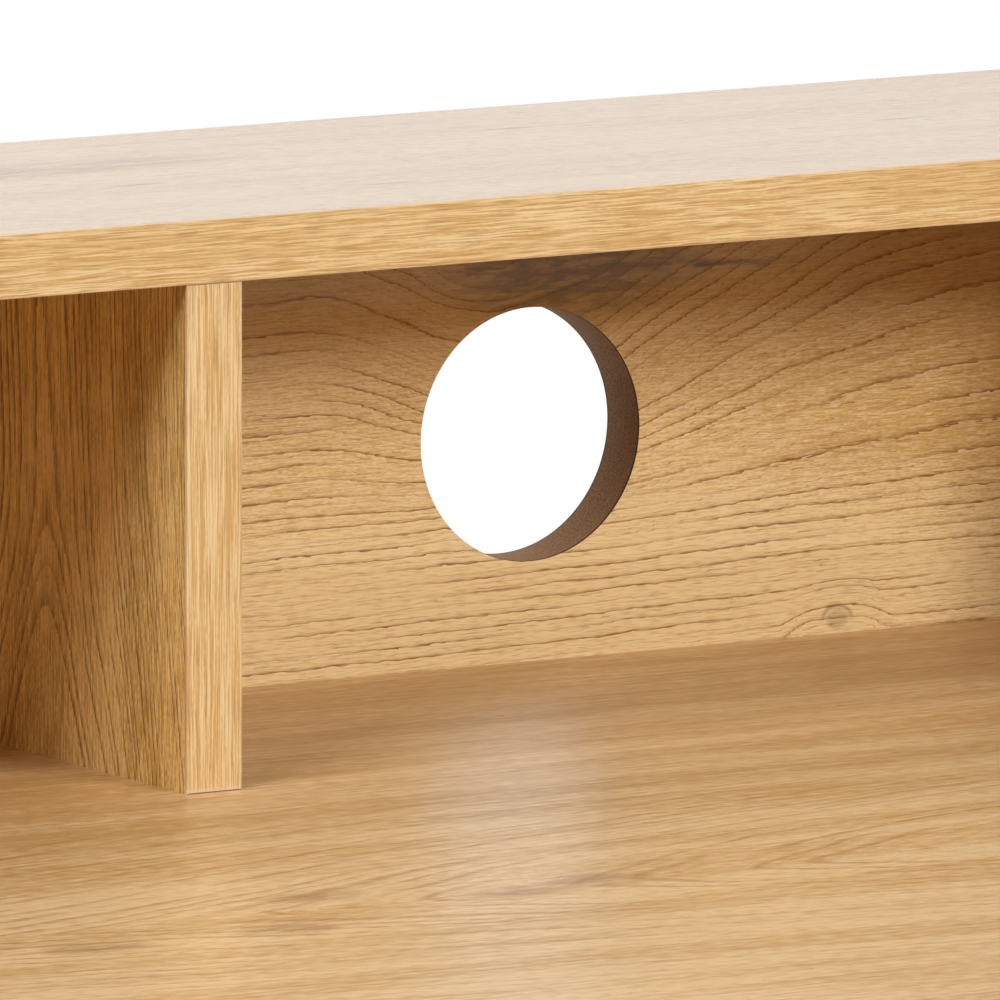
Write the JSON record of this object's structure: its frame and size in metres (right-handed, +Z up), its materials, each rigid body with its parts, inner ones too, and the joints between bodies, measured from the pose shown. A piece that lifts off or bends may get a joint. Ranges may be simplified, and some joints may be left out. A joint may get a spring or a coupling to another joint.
{
  "type": "desk",
  "caption": "Panel desk with a worktop on two side panels and a modesty panel, and a low open riser at the rear with dividers and a round cable hole.",
  "frame": {"origin": "on the floor, under the middle of the desk", "axes": "+X along the desk to the sitter's right, +Y from the sitter to the rear, +Z up"},
  "size_m": [1.2, 0.6, 0.885],
  "materials": {
    "laminate_oak": "satin oak-grain laminate",
    "edge_band_oak": "satin light oak edge banding",
    "beech": "raw beech",
    "bolt_steel": "zinc-plated steel",
    "cam_zinc": "dull die-cast zinc",
    "glide_plastic": "matte black plastic"
  },
  "bodies": {
    "root": {"worktop": "laminate_oak", "worktop_edge_bands": "edge_band_oak", "side_panel_left": "laminate_oak", "side_panel_left_edge_bands": "edge_band_oak", "side_panel_right": "laminate_oak", "side_panel_right_edge_bands": "edge_band_oak", "modesty_panel": "laminate_oak", "modesty_panel_edge_band": "edge_band_oak", "riser_back": "laminate_oak", "riser_top": "laminate_oak", "riser_top_edge_bands": "edge_band_oak", "riser_end_left": "laminate_oak", "riser_end_left_edge_bands": "edge_band_oak", "riser_end_right": "laminate_oak", "riser_end_right_edge_bands": "edge_band_oak", "divider_left": "laminate_oak", "divider_left_edge_band": "edge_band_oak", "divider_right": "laminate_oak", "divider_right_edge_band": "edge_band_oak", "side_panel_cam_bolts": "bolt_steel", "side_panel_cam_discs": "cam_zinc", "side_panel_dowels": "beech", "modesty_panel_cam_bolts": "bolt_steel", "modesty_panel_cam_discs": "cam_zinc", "modesty_panel_dowels": "beech", "riser_base_cam_bolts": "bolt_steel", "riser_base_cam_discs": "cam_zinc", "riser_base_dowels": "beech", "riser_top_cam_bolts": "bolt_steel", "riser_top_cam_discs": "cam_zinc", "riser_top_dowels": "beech", "riser_back_cam_bolts": "bolt_steel", "riser_back_cam_discs": "cam_zinc", "riser_back_dowels": "beech", "divider_screws": "bolt_steel", "foot_glides": "glide_plastic"}
  },
  "joints": []
}
